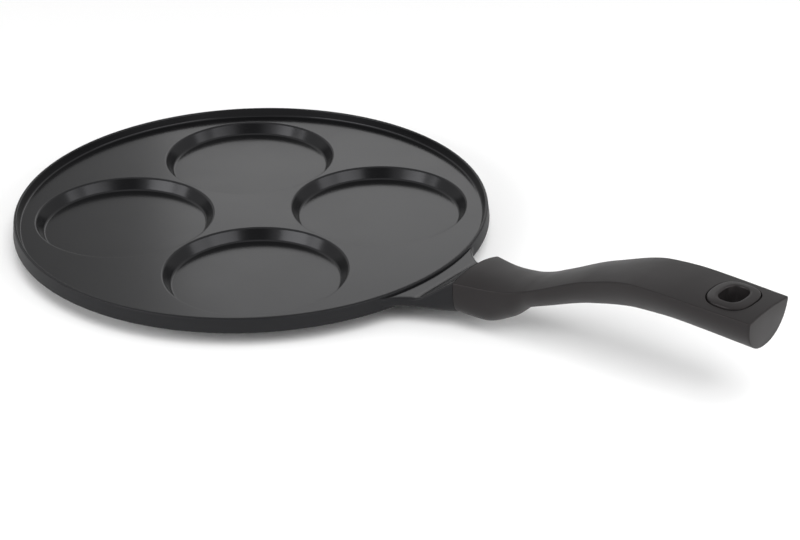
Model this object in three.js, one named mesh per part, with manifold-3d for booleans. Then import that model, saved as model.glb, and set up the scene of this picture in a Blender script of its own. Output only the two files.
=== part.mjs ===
// A blini pan: a round cast pan with four shallow wells, a lug that carries the handle, and a curved grip.
// Millimetres, +Z up. The handle points along +X.
// The origin is the middle of the base, on the surface that the pan stands on.

import * as THREE from 'three';
import { mergeVertices } from 'three/addons/utils/BufferGeometryUtils.js';
import Module from 'manifold-3d';

const wasm = await Module();
wasm.setup();

// Wells and plate
const WELL_COUNT = 4;
const WELL_RADIUS = 48.7; // at the plate's top face
const WELL_WEB = 0.55; // plate left between neighbouring wells
const WELL_DEPTH = 6.1;
const WELL_WALL_RUN = 4.6; // from the well's edge to the foot of its sloping wall
const WELL_EDGE_FILLET = 0.8;
const WELL_FLOOR_FILLET = 0.8;
const WELL_FLOOR_THICKNESS = 7.4; // from the well's floor to the surface below
const PLATE_MARGIN = 7.7; // from the wells' edge to the lip's foot

// Rim
const RIM_HEIGHT = 4.6; // lip above the plate
const RIM_THICKNESS = 1.6;
const RIM_LEAN = 1.2; // inner wall's slope, as a run
const RIM_DRAFT = 0.9; // outer wall's slope, as a run
const RIM_DROP = 3.1; // foot of the outer wall below the plate's top face
const LIP_OUTER_FILLET = 1;
const LIP_INNER_FILLET = 0.5;
const LIP_FOOT_FILLET = 0.8; // between the lip and the plate
const RIM_FOOT_FILLET = 0.4;
const RIM_OVERHANG = 18; // rim beyond the base
const UNDERSIDE_RUN = 10; // sloping underside beside the base
const UNDERSIDE_RISE = 6.4;

// Base
const INDUCTION_THICKNESS = 2.2;
const BASE_RING_WIDTH = 14; // casting around the induction plate
const BASE_RELIEF = 0.4; // casting stays clear of the surface, the induction plate touches it
const BASE_FILLET = 1.5;
const GROOVE_RADII = [36, 68]; // ring grooves in the induction plate's face
const GROOVE_WIDTH = 1.6;
const GROOVE_DEPTH = 0.5;

// Lug and tang
const LUG_LENGTH = 25.1; // from the rim's foot to the handle's seat
const LUG_ROOT = 18; // lug sunk into the casting
const LUG_RISE = 3.2; // lug's flat top above the plate
const LUG_DROP = 2.1; // lug's underside below the plate's top face
const LUG_FLARE_RADIUS = 30; // plan curve out of the rim
const LUG_TAPER = 0.39; // sideways slope of its straight flanks
const LUG_RAMP = 17; // length of the slope that climbs to the handle
const LUG_RAMP_FILLET = 3;
const LUG_SQUARENESS = 9;
const TANG_LENGTH = 24;
const TANG_WIDTH = 16;
const TANG_HEIGHT = 7;
const TANG_RISE = 6; // tang's underside above the plate
const TANG_ROOT = 2; // tang sunk into the lug

// Handle, at stations from the seat to the end. Heights are above the plate's top face.
const HANDLE_LENGTH = 165.3;
const STATION_SHARES = [0, 0.085, 0.17, 0.235, 0.285, 0.45, 0.63, 0.755, 1]; // of the length
const CREASE_HEIGHTS = [15.3, 16, 18.3, 22.1, 26.1, 39.9, 49.5, 50.8, 51]; // edges of the top face
const HALF_WIDTHS = [18.5, 15.8, 14.5, 13.6, 14.1, 14.5, 16.9, 17.7, 16.7];
const UNDERSIDE_DEPTHS = [19.9, 21.6, 17.7, 12.5, 13, 15.7, 18, 17.5, 18.3]; // below the creases
const CROWN_HEIGHTS = [3.2, 3.2, 2.6, 2, 1.7, 1.5, 1.5, 1.5, 1.3]; // above the creases
const UNDERSIDE_SQUARENESS = [3.6, 3.2, 2.6, 2.3, 2.2, 2.2, 2.1, 2.1, 2.2]; // 2 is an ellipse
const END_SLANT = 0.06; // end face leans out at the top
const END_SLANT_START = 0.8; // share of the length where the lean begins

// Hanging eyelet
const EYELET_FROM_END = 18.6; // eyelet's middle to the handle's end
const EYELET_HALF_LENGTH = 10.9;
const EYELET_SIDE_WALL = 4.8; // handle left on each side of the eyelet
const EYELET_END_BORDER = 5.1; // ring's width along the handle
const EYELET_SIDE_BORDER = 4.5; // ring's width across the handle
const EYELET_FLANGE = 3; // depth of the ring below the handle's crease
const EYELET_LIP = 2.2; // lip's top above the handle's crease
const EYELET_SLEEVE_WALL = 2;
const EYELET_FOOT = 4.6; // sleeve's lower end above the handle's lowest line
const EYELET_SQUARENESS = 2.6;
const LIP_OUTLINE = [[1, 0.55], [0.7, 0.8], [0.4, 0.95], [0.18, 1], [0, 0.8]]; // shares of border and lip

// Screw and lock washer
const SCREW_DIAMETER = 5;
const SCREW_HEAD_DIAMETER = 9.4;
const SCREW_HEAD_HEIGHT = 3;
const SCREW_FROM_TANG_END = 11; // screw's axis to the tang's free end
const SCREW_SEAT_WALL = 4; // handle between the washer's seat and the tang's socket
const SCREW_TIP_MARGIN = 1; // tang above the screw's tip
const SCREW_CHAMFER = 0.7;
const CROSS_LENGTH = 5;
const CROSS_WIDTH = 1.2;
const CROSS_DEPTH = 1.6;
const WASHER_THICKNESS = 1.3;
const WASHER_DIAMETER = 9.2;
const WASHER_SLIT = 0.8;
const COUNTERBORE_DIAMETER = 11;

const FIT_GAP = 0.3; // between pieces that touch
const SKIM = 0.05; // a cut that ends along a face stays this far above it
const WELD = 1e-4; // points closer than this are one point

// Finishes
const COATED_CASTING = { color: 0x2c2d2f, roughness: 0.35, metalness: 0 };
const GRIP_PLASTIC = { color: 0x2b2929, roughness: 0.55, metalness: 0 };
const EYELET_PLASTIC = { color: 0x2e2c2c, roughness: 0.4, metalness: 0 };
const BASE_STEEL = { color: 0xa6a8ab, roughness: 0.4, metalness: 1 };
const FASTENER_STEEL = { color: 0xb4b6b9, roughness: 0.3, metalness: 1 };

// Fineness of the faceted surfaces
const PAN_SEGMENTS = 96;
const WELL_SEGMENTS = 48;
const BASE_SEGMENTS = 48;
const OVAL_SEGMENTS = 40;
const ROUND_SEGMENTS = 24;
const FILLET_STEPS = 2;
const LUG_STEPS = 16;
const HANDLE_STEPS = 38;
const CROWN_STEPS = 8;
const UNDERSIDE_STEPS = 16;

// Sizes that follow
const plateTop = WELL_DEPTH + WELL_FLOOR_THICKNESS;
const wellCentreRadius = (WELL_RADIUS + WELL_WEB / 2) / Math.sin(Math.PI / WELL_COUNT);
const rimFootRadius = wellCentreRadius + WELL_RADIUS + PLATE_MARGIN;
const rimInnerRadius = rimFootRadius + RIM_LEAN;
const rimTopRadius = rimInnerRadius + RIM_THICKNESS;
const rimRadius = rimTopRadius + RIM_DRAFT;
const rimTop = plateTop + RIM_HEIGHT;
const baseRadius = rimRadius - RIM_OVERHANG;
const inductionRadius = baseRadius - BASE_RING_WIDTH;
const seatX = rimRadius + LUG_LENGTH;
const handleStartX = seatX + FIT_GAP;
const tangBottom = plateTop + TANG_RISE;
const screwX = seatX + TANG_LENGTH - SCREW_FROM_TANG_END;
const socketBottom = tangBottom - FIT_GAP;
const socketTop = tangBottom + TANG_HEIGHT + FIT_GAP;
const washerSeat = socketBottom - SCREW_SEAT_WALL;
const eyeletShare = 1 - EYELET_FROM_END / HANDLE_LENGTH;
const eyeletX = handleStartX + HANDLE_LENGTH - EYELET_FROM_END;
const clearOfPan = rimRadius + HANDLE_LENGTH; // longer than any cut needs

// Closed solid of a geometry whose seams and poles are welded.
function solidOf(geometry) {
  geometry.deleteAttribute('normal');
  geometry.deleteAttribute('uv');
  const welded = mergeVertices(geometry, WELD);
  const corners = welded.index.array;
  const faces = [];
  for (let i = 0; i < corners.length; i += 3) {
    const [a, b, c] = corners.slice(i, i + 3);
    if (a !== b && b !== c && c !== a) faces.push(a, b, c);
  }
  const vertProperties = new Float32Array(welded.attributes.position.array);
  const triVerts = new Uint32Array(faces);
  return new wasm.Manifold(new wasm.Mesh({ numProp: 3, vertProperties, triVerts }));
}

function meshOf(name, solid, finish) {
  const { vertProperties, triVerts } = solid.getMesh();
  const geometry = new THREE.BufferGeometry();
  geometry.setAttribute('position', new THREE.BufferAttribute(vertProperties, 3));
  geometry.setIndex(new THREE.BufferAttribute(triVerts, 1));
  geometry.computeVertexNormals();
  const mesh = new THREE.Mesh(geometry, new THREE.MeshStandardMaterial(finish));
  mesh.name = name;
  return mesh;
}

// Outline through [radius, height, fillet] corners, each rounded by its fillet.
function roundedOutline(corners) {
  const path = new THREE.Path();
  const points = corners.map(([radius, height]) => new THREE.Vector2(radius, height));
  path.moveTo(points[0].x, points[0].y);
  for (let i = 1; i < points.length; i += 1) {
    const fillet = corners[i][2] ?? 0;
    if (fillet === 0) {
      path.lineTo(points[i].x, points[i].y);
      continue;
    }
    const before = points[i].clone().sub(points[i - 1]).setLength(fillet);
    const after = points[i + 1].clone().sub(points[i]).setLength(fillet);
    path.lineTo(points[i].x - before.x, points[i].y - before.y);
    path.quadraticCurveTo(points[i].x, points[i].y, points[i].x + after.x, points[i].y + after.y);
  }
  return path.getPoints(FILLET_STEPS);
}

// Solid of revolution about +Z. Its outline runs out along the bottom, up, and back in along the top.
function revolve(corners, segments) {
  return solidOf(new THREE.LatheGeometry(roundedOutline(corners), segments).rotateX(Math.PI / 2));
}

function cylinder(radius, low, high, segments) {
  return revolve([[0, low], [radius, low], [radius, high], [0, high]], segments);
}

function box(low, high) {
  const size = new THREE.Vector3().subVectors(high, low);
  const middle = new THREE.Vector3().addVectors(low, high).multiplyScalar(0.5);
  return solidOf(new THREE.BoxGeometry(size.x, size.y, size.z).translate(middle.x, middle.y, middle.z));
}

// Skin over a grid of points. Rows close on themselves, and the rows may close into a ring or get flat ends.
function skin(rows, ringOfRows) {
  const width = rows[0].length;
  const points = rows.flat();
  const index = [];
  const joins = ringOfRows ? rows.length : rows.length - 1;
  for (let r = 0; r < joins; r += 1) {
    const here = r * width;
    const next = ((r + 1) % rows.length) * width;
    for (let i = 0; i < width; i += 1) {
      const j = (i + 1) % width;
      index.push(here + i, here + j, next + j, here + i, next + j, next + i);
    }
  }
  if (!ringOfRows) {
    const ends = [rows[0], rows.at(-1)];
    ends.forEach((row, end) => {
      const middle = new THREE.Vector3();
      row.forEach((point) => middle.addScaledVector(point, 1 / width));
      const first = end * (rows.length - 1) * width;
      for (let i = 0; i < width; i += 1) {
        const j = (i + 1) % width;
        index.push(points.length, first + (end ? i : j), first + (end ? j : i));
      }
      points.push(middle);
    });
  }
  const geometry = new THREE.BufferGeometry().setFromPoints(points);
  geometry.setIndex(index);
  return solidOf(geometry);
}

// Smooth curve through the handle's stations that never overshoots between them.
function smoothThrough(y) {
  const x = STATION_SHARES;
  const slope = x.slice(1).map((value, i) => (y[i + 1] - y[i]) / (value - x[i]));
  const tangent = x.map((value, i) => {
    if (i === 0 || i === x.length - 1) return slope[Math.min(i, slope.length - 1)];
    const product = slope[i - 1] * slope[i];
    return product > 0 ? (2 * product) / (slope[i - 1] + slope[i]) : 0;
  });
  return (share) => {
    let i = 0;
    while (i < x.length - 2 && share > x[i + 1]) i += 1;
    const span = x[i + 1] - x[i];
    const t = (share - x[i]) / span;
    const rise = t * t * (3 - 2 * t);
    const leave = t * (1 - t) * (1 - t) * span * tangent[i];
    const arrive = t * t * (1 - t) * span * tangent[i + 1];
    return y[i] + rise * (y[i + 1] - y[i]) + leave - arrive;
  };
}

const creaseCurve = smoothThrough(CREASE_HEIGHTS);
const halfCurve = smoothThrough(HALF_WIDTHS);
const depthCurve = smoothThrough(UNDERSIDE_DEPTHS);
const crownCurve = smoothThrough(CROWN_HEIGHTS);
const squarenessCurve = smoothThrough(UNDERSIDE_SQUARENESS);

function handleAt(share) {
  return {
    crease: creaseCurve(share),
    half: halfCurve(share),
    depth: depthCurve(share),
    crown: crownCurve(share),
    squareness: squarenessCurve(share),
  };
}

// One outline across the handle or the lug: a crowned top between two creases, and a rounded underside.
function section(x, { crease, half, depth, crown, squareness }, slant = 0) {
  const outline = [];
  for (let i = 0; i < CROWN_STEPS; i += 1) {
    const across = 1 - (2 * i) / CROWN_STEPS;
    outline.push([across * half, crown * (1 - across * across)]);
  }
  for (let i = 0; i < UNDERSIDE_STEPS; i += 1) {
    const angle = (Math.PI * i) / UNDERSIDE_STEPS;
    const across = -Math.sign(Math.cos(angle)) * Math.abs(Math.cos(angle)) ** (2 / squareness);
    outline.push([across * half, -depth * Math.sin(angle) ** (2 / squareness)]);
  }
  return outline.map(([y, z]) => new THREE.Vector3(x + slant * z, y, plateTop + crease + z));
}

// Half width of the lug: an arc that leaves the rim at a tangent, then a straight flank to the handle.
function lugHalf(x, endHalf) {
  const flank = new THREE.Vector2(-1, LUG_TAPER).normalize();
  const across = new THREE.Vector2(flank.y, -flank.x).multiplyScalar(LUG_FLARE_RADIUS);
  const centre = new THREE.Vector2(seatX, endHalf).add(across);
  const centreRadius = rimTopRadius + LUG_FLARE_RADIUS;
  const back = -centre.dot(flank);
  const flankLength = back - Math.sqrt(back ** 2 - centre.lengthSq() + centreRadius ** 2);
  centre.addScaledVector(flank, flankLength);
  if (x > centre.x - across.x) return endHalf + LUG_TAPER * (seatX - x);
  const along = Math.max(x, (centre.x * rimTopRadius) / centreRadius);
  return centre.y - Math.sqrt(LUG_FLARE_RADIUS ** 2 - (centre.x - along) ** 2);
}

// Height of the lug's top: flat beside the rim, a fillet, then a straight slope up to the handle.
function lugCrease(x, endCrease) {
  const slope = (endCrease - LUG_RISE) / LUG_RAMP;
  const along = x - (seatX - LUG_RAMP);
  if (along < -LUG_RAMP_FILLET) return LUG_RISE;
  if (along > LUG_RAMP_FILLET) return LUG_RISE + slope * along;
  return LUG_RISE + (slope * (along + LUG_RAMP_FILLET) ** 2) / (4 * LUG_RAMP_FILLET);
}

function lugAt(x) {
  const end = handleAt(0);
  const crease = lugCrease(x, end.crease);
  const climb = (crease - LUG_RISE) / (end.crease - LUG_RISE);
  const underside = THREE.MathUtils.lerp(-LUG_DROP, end.crease - end.depth, climb);
  return {
    crease,
    half: lugHalf(x, end.half),
    depth: crease - underside,
    crown: end.crown * climb,
    squareness: THREE.MathUtils.lerp(LUG_SQUARENESS, end.squareness, climb),
  };
}

// Oval around the eyelet's axis, long across the handle.
function oval(halfLength, halfWidth) {
  const points = [];
  for (let i = 0; i < OVAL_SEGMENTS; i += 1) {
    const angle = (2 * Math.PI * i) / OVAL_SEGMENTS;
    const power = 2 / EYELET_SQUARENESS;
    const x = Math.sign(Math.cos(angle)) * Math.abs(Math.cos(angle)) ** power;
    const y = Math.sign(Math.sin(angle)) * Math.abs(Math.sin(angle)) ** power;
    points.push(new THREE.Vector2(eyeletX + halfLength * x, halfWidth * y));
  }
  return points;
}

function ovalPrism(halfLength, halfWidth, low, high) {
  const shape = new THREE.Shape(oval(halfLength, halfWidth));
  const prism = new THREE.ExtrudeGeometry(shape, { depth: high - low, bevelEnabled: false });
  return solidOf(prism.translate(0, 0, low));
}

// Sizes shared by the eyelet and the hole that takes it.
function eyeletSizes() {
  const grip = handleAt(eyeletShare);
  const crease = plateTop + grip.crease;
  const halfWidth = grip.half - EYELET_SIDE_WALL;
  return {
    crease,
    halfWidth,
    holeHalfLength: EYELET_HALF_LENGTH - EYELET_END_BORDER,
    holeHalfWidth: halfWidth - EYELET_SIDE_BORDER,
    flangeBottom: crease - EYELET_FLANGE,
    foot: crease - grip.depth + EYELET_FOOT,
  };
}

function panBody() {
  const undersideRadius = baseRadius + UNDERSIDE_RUN;
  let pan = revolve([
    [0, INDUCTION_THICKNESS + FIT_GAP],
    [inductionRadius + FIT_GAP, INDUCTION_THICKNESS + FIT_GAP],
    [inductionRadius + FIT_GAP, BASE_RELIEF],
    [baseRadius, BASE_RELIEF, BASE_FILLET],
    [undersideRadius, BASE_RELIEF + UNDERSIDE_RISE, BASE_FILLET],
    [rimRadius, plateTop - RIM_DROP, RIM_FOOT_FILLET],
    [rimTopRadius, rimTop, LIP_OUTER_FILLET],
    [rimInnerRadius, rimTop, LIP_INNER_FILLET],
    [rimFootRadius, plateTop, LIP_FOOT_FILLET],
    [0, plateTop],
  ], PAN_SEGMENTS);

  const lugRows = [];
  for (let i = 0; i <= LUG_STEPS; i += 1) {
    const x = THREE.MathUtils.lerp(rimRadius - LUG_ROOT, seatX, i / LUG_STEPS);
    lugRows.push(section(x, lugAt(x)));
  }
  const insideRim = cylinder(rimTopRadius, plateTop - RIM_DROP, clearOfPan, PAN_SEGMENTS);
  pan = pan.add(skin(lugRows, false).subtract(insideRim));

  const tang = box(
    new THREE.Vector3(seatX - TANG_ROOT, -TANG_WIDTH / 2, tangBottom),
    new THREE.Vector3(seatX + TANG_LENGTH, TANG_WIDTH / 2, tangBottom + TANG_HEIGHT),
  );
  const thread = cylinder(SCREW_DIAMETER / 2 + FIT_GAP, 0, socketTop, ROUND_SEGMENTS);
  pan = pan.add(tang).subtract(thread.translate([screwX, 0, 0]));

  const wellFloor = plateTop - WELL_DEPTH;
  const well = revolve([
    [0, wellFloor],
    [WELL_RADIUS - WELL_WALL_RUN, wellFloor, WELL_FLOOR_FILLET],
    [WELL_RADIUS - WELL_EDGE_FILLET, plateTop + SKIM, WELL_EDGE_FILLET],
    [WELL_RADIUS + SKIM, plateTop + SKIM],
    [WELL_RADIUS + SKIM, rimTop],
    [0, rimTop],
  ], WELL_SEGMENTS);
  for (let i = 0; i < WELL_COUNT; i += 1) {
    const angle = (2 * Math.PI * (i + 0.5)) / WELL_COUNT;
    const x = wellCentreRadius * Math.cos(angle);
    const y = wellCentreRadius * Math.sin(angle);
    pan = pan.subtract(well.translate([x, y, 0]));
  }
  return meshOf('pan_body', pan, COATED_CASTING);
}

function inductionPlate() {
  const corners = [[0, 0]];
  GROOVE_RADII.forEach((radius) => {
    corners.push([radius, 0], [radius, GROOVE_DEPTH]);
    corners.push([radius + GROOVE_WIDTH, GROOVE_DEPTH], [radius + GROOVE_WIDTH, 0]);
  });
  corners.push([inductionRadius, 0, GROOVE_DEPTH], [inductionRadius, INDUCTION_THICKNESS]);
  corners.push([0, INDUCTION_THICKNESS]);
  return meshOf('induction_plate', revolve(corners, BASE_SEGMENTS), BASE_STEEL);
}

function handleGrip() {
  const rows = [];
  for (let i = 0; i <= HANDLE_STEPS; i += 1) {
    const share = i / HANDLE_STEPS;
    const slant = END_SLANT * THREE.MathUtils.smoothstep(share, END_SLANT_START, 1);
    rows.push(section(handleStartX + share * HANDLE_LENGTH, handleAt(share), slant));
  }
  let grip = skin(rows, false);

  const socket = box(
    new THREE.Vector3(seatX - TANG_LENGTH, -TANG_WIDTH / 2 - FIT_GAP, socketBottom),
    new THREE.Vector3(seatX + TANG_LENGTH + FIT_GAP, TANG_WIDTH / 2 + FIT_GAP, socketTop),
  );
  const shank = cylinder(SCREW_DIAMETER / 2 + FIT_GAP, -clearOfPan, tangBottom, ROUND_SEGMENTS);
  const counterbore = cylinder(COUNTERBORE_DIAMETER / 2, -clearOfPan, washerSeat, ROUND_SEGMENTS);
  const screwHole = shank.add(counterbore).translate([screwX, 0, 0]);
  grip = grip.subtract(socket).subtract(screwHole);

  const eyelet = eyeletSizes();
  const flange = ovalPrism(
    EYELET_HALF_LENGTH + FIT_GAP,
    eyelet.halfWidth + FIT_GAP,
    eyelet.flangeBottom - FIT_GAP,
    clearOfPan,
  );
  const sleeve = ovalPrism(
    eyelet.holeHalfLength + EYELET_SLEEVE_WALL + FIT_GAP,
    eyelet.holeHalfWidth + EYELET_SLEEVE_WALL + FIT_GAP,
    0,
    clearOfPan,
  );
  return meshOf('handle_grip', grip.subtract(flange).subtract(sleeve), GRIP_PLASTIC);
}

// The eyelet's ring and sleeve: one outline of [half length, half width, height] carried around the oval.
function hangingEyelet() {
  const { crease, halfWidth, holeHalfLength, holeHalfWidth, flangeBottom, foot } = eyeletSizes();
  const sleeveLength = holeHalfLength + EYELET_SLEEVE_WALL;
  const sleeveWidth = holeHalfWidth + EYELET_SLEEVE_WALL;
  const lip = LIP_OUTLINE.map(([share, height]) => [
    THREE.MathUtils.lerp(holeHalfLength, EYELET_HALF_LENGTH, share),
    THREE.MathUtils.lerp(holeHalfWidth, halfWidth, share),
    crease + height * EYELET_LIP,
  ]);
  const rows = [
    ...lip,
    [holeHalfLength, holeHalfWidth, foot],
    [sleeveLength, sleeveWidth, foot],
    [sleeveLength, sleeveWidth, flangeBottom],
    [EYELET_HALF_LENGTH, halfWidth, flangeBottom],
  ].map(([length, width, z]) => oval(length, width).map((point) => new THREE.Vector3(point.x, point.y, z)));
  return meshOf('hanging_eyelet', skin(rows, true), EYELET_PLASTIC);
}

function handleScrew() {
  const headTop = washerSeat - FIT_GAP - WASHER_THICKNESS - FIT_GAP;
  const headBottom = headTop - SCREW_HEAD_HEIGHT;
  const tip = tangBottom + TANG_HEIGHT - SCREW_TIP_MARGIN;
  const shankRadius = SCREW_DIAMETER / 2;
  const headRadius = SCREW_HEAD_DIAMETER / 2;
  const body = revolve([
    [0, headBottom],
    [headRadius, headBottom, SCREW_HEAD_HEIGHT / 2],
    [headRadius, headTop],
    [shankRadius, headTop],
    [shankRadius, tip - SCREW_CHAMFER],
    [shankRadius - SCREW_CHAMFER, tip],
    [0, tip],
  ], ROUND_SEGMENTS);
  const half = new THREE.Vector3(CROSS_LENGTH / 2, CROSS_WIDTH / 2, CROSS_DEPTH);
  const slot = box(
    new THREE.Vector3(-half.x, -half.y, headBottom - half.z),
    new THREE.Vector3(half.x, half.y, headBottom + half.z),
  );
  const cross = slot.add(slot.rotate([0, 0, 90]));
  return meshOf('handle_screw', body.subtract(cross).translate([screwX, 0, 0]), FASTENER_STEEL);
}

function lockWasher() {
  const outer = WASHER_DIAMETER / 2;
  const inner = SCREW_DIAMETER / 2 + FIT_GAP;
  const slitAngle = WASHER_SLIT / outer;
  const ring = new THREE.Shape();
  ring.absarc(0, 0, outer, slitAngle, 2 * Math.PI - slitAngle, false);
  ring.absarc(0, 0, inner, 2 * Math.PI - slitAngle, slitAngle, true);
  const options = { depth: WASHER_THICKNESS, bevelEnabled: false, curveSegments: ROUND_SEGMENTS };
  const washer = new THREE.ExtrudeGeometry(ring, options);
  washer.translate(screwX, 0, washerSeat - FIT_GAP - WASHER_THICKNESS);
  return meshOf('lock_washer', solidOf(washer), FASTENER_STEEL);
}

const bliniPan = new THREE.Group();
bliniPan.add(panBody(), inductionPlate(), handleGrip(), hangingEyelet(), handleScrew(), lockWasher());

export default bliniPan;
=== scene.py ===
# A blini pan: smooth casting with four wells, moulded grip and eyelet, steel base and fasteners.
# Metres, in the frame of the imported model: +Z up, the handle along +X, and the origin under the middle
# of the base.

import math

import bmesh
import bpy
from mathutils import Matrix, Vector
from mathutils.geometry import delaunay_2d_cdt


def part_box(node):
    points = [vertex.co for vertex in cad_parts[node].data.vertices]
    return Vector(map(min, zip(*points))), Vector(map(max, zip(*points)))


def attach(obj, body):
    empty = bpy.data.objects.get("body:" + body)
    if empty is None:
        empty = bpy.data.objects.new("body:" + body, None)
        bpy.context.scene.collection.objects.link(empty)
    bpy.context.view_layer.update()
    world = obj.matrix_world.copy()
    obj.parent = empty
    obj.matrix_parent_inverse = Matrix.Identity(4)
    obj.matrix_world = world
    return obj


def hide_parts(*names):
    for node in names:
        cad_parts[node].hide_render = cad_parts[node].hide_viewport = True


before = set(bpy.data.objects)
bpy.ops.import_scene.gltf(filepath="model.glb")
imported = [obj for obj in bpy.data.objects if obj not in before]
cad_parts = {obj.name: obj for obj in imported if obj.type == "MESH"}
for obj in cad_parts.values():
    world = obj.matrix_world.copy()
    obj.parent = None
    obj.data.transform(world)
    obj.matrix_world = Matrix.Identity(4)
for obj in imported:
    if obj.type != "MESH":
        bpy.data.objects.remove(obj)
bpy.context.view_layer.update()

MM = 0.001
FIT_GAP = 0.3 * MM  # between pieces that touch

# Wells and plate
WELL_COUNT = 4
WELL_RADIUS = 48.7 * MM
WELL_WEB = 0.55 * MM
WELL_DEPTH = 6.1 * MM
WELL_WALL_RUN = 4.6 * MM
WELL_EDGE_FILLET = 0.8 * MM
WELL_FLOOR_FILLET = 0.8 * MM
WELL_FLOOR_THICKNESS = 7.4 * MM
PLATE_MARGIN = 7.7 * MM

# Rim and underside
RIM_HEIGHT = 4.6 * MM
RIM_THICKNESS = 1.6 * MM
RIM_LEAN = 1.2 * MM
RIM_DRAFT = 0.9 * MM
RIM_DROP = 3.1 * MM
LIP_OUTER_FILLET = 1 * MM
LIP_INNER_FILLET = 0.5 * MM
LIP_FOOT_FILLET = 0.8 * MM
RIM_FOOT_FILLET = 0.46 * MM  # a little more than in the solids, to stay inside their box
RIM_OVERHANG = 18 * MM
UNDERSIDE_RUN = 10 * MM
UNDERSIDE_RISE = 6.4 * MM
BASE_RELIEF = 0.4 * MM
BASE_FILLET = 1.5 * MM
RECESS_FILLET = 0.3 * MM

# Induction plate
GROOVE_RADII = (36 * MM, 68 * MM)
GROOVE_WIDTH = 1.6 * MM
GROOVE_DEPTH = 0.5 * MM
GROOVE_FILLET = 0.2 * MM

# Lug and tang
LUG_ROOT = 18 * MM
LUG_RISE = 3.2 * MM
LUG_DROP = 2.1 * MM
LUG_FLARE_RADIUS = 30 * MM
LUG_TAPER = 0.39
LUG_RAMP = 17 * MM
LUG_RAMP_FILLET = 3 * MM
LUG_SQUARENESS = 9
LUG_EDGE = 2 * MM  # rounding of its upper edges beside the rim
LUG_SEAT_EDGE = 1.2 * MM  # and beside the handle
TANG_LENGTH = 24 * MM
TANG_WIDTH = 16 * MM
TANG_HEIGHT = 7 * MM
TANG_RISE = 6 * MM
TANG_ROOT = 2 * MM

# Handle, at stations from the seat to the end, as shares of its length. The heights are above the plate's
# top face. The lists of sizes are in millimetres.
HANDLE_LENGTH = 165.3 * MM
STATION_SHARES = (0, 0.085, 0.17, 0.235, 0.285, 0.45, 0.63, 0.755, 1)
CREASE_HEIGHTS = (15.3, 16, 18.3, 22.1, 26.1, 39.9, 49.5, 50.8, 51)
HALF_WIDTHS = (18.5, 15.8, 14.5, 13.6, 14.1, 14.5, 16.9, 17.7, 16.7)
UNDERSIDE_DEPTHS = (19.9, 21.6, 17.7, 12.5, 13, 15.7, 18, 17.5, 18.3)
CROWN_HEIGHTS = (3.2, 3.2, 2.6, 2, 1.7, 1.5, 1.5, 1.5, 1.3)
UNDERSIDE_SQUARENESS = (3.6, 3.2, 2.6, 2.3, 2.2, 2.2, 2.1, 2.1, 2.2)
END_SLANT = 0.06
END_SLANT_START = 0.8
HANDLE_EDGE = 0.7 * MM  # rounding of the creases
HANDLE_END_EDGE = 0.8 * MM
HANDLE_SEAT_EDGE = 0.15 * MM
SEAT_CLOSE = 0.2 * MM  # how far the seat closes the gap to the lug

# Hanging eyelet
EYELET_END_BORDER = 5.1 * MM
EYELET_SIDE_BORDER = 4.5 * MM
EYELET_FLANGE = 3 * MM
EYELET_LIP = 2.2 * MM
EYELET_SLEEVE_WALL = 2 * MM
EYELET_SQUARENESS = 2.6
LIP_SINK = 0.5 * MM  # ring's outer edge below the handle's face
LIP_SHARES = (0, 0.05, 0.2, 0.5, 0.78, 0.93, 1)  # across the ring, from the handle to the hole
LIP_RISES = (0, 0.55, 0.76, 0.92, 1, 0.93, 0.6)  # shares of the climb to the lip's crest
SEAM_FLARE = 0.5 * MM  # rounded edge of the handle around the eyelet

# Screw and lock washer
SCREW_DIAMETER = 5 * MM
SCREW_HEAD_HEIGHT = 3 * MM
SCREW_SEAT_WALL = 4 * MM
CROSS_LENGTH = 5 * MM
CROSS_WIDTH = 1.2 * MM
CROSS_DEPTH = 1.6 * MM
THREAD_PITCH = 0.8 * MM
THREAD_DEPTH = 0.35 * MM
WASHER_SLIT = 0.8 * MM
COUNTERBORE_DIAMETER = 11 * MM

# Fineness
PAN_SEGMENTS = 384
WELL_SEGMENTS = 192
ROUND_SEGMENTS = 64
OVAL_SEGMENTS = 128
FILLET_STEPS = 8
GUARD = 0.12 * MM  # flat strip beside each rounding, which keeps flat faces flat in reflections
LUG_STEPS = 96
HANDLE_STEPS = 200
CROWN_STEPS = 32
CREASE_STEPS = 8
UNDERSIDE_STEPS = 64
LIP_STEPS = 40
BOX_EDGE_STEPS = 3
ROUND_PROFILE = 0.5  # bevel profile of a quarter circle
SHARP_ANGLE = math.radians(32)
WELD = 0.001 * MM

# Sizes that follow
grip_low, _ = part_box("handle_grip")
eyelet_low, eyelet_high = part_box("hanging_eyelet")
screw_low, screw_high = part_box("handle_screw")
washer_low, washer_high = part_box("lock_washer")
_, steel_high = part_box("induction_plate")

plate_top = WELL_DEPTH + WELL_FLOOR_THICKNESS
well_floor = plate_top - WELL_DEPTH
well_centre_radius = (WELL_RADIUS + WELL_WEB / 2) / math.sin(math.pi / WELL_COUNT)
rim_foot_radius = well_centre_radius + WELL_RADIUS + PLATE_MARGIN
rim_inner_radius = rim_foot_radius + RIM_LEAN
rim_top_radius = rim_inner_radius + RIM_THICKNESS
rim_radius = rim_top_radius + RIM_DRAFT
rim_top = plate_top + RIM_HEIGHT
rim_bottom = plate_top - RIM_DROP
base_radius = rim_radius - RIM_OVERHANG
steel_radius = steel_high.x
steel_top = steel_high.z
handle_start = grip_low.x
seat_x = handle_start - FIT_GAP
tang_bottom = plate_top + TANG_RISE
tang_top = tang_bottom + TANG_HEIGHT
socket_bottom = tang_bottom - FIT_GAP
screw_x = (screw_low.x + screw_high.x) / 2
screw_hole_radius = SCREW_DIAMETER / 2 + FIT_GAP
washer_seat = socket_bottom - SCREW_SEAT_WALL
eyelet_x = (eyelet_low.x + eyelet_high.x) / 2
eyelet_half_length = (eyelet_high.x - eyelet_low.x) / 2
eyelet_half_width = eyelet_high.y
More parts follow.
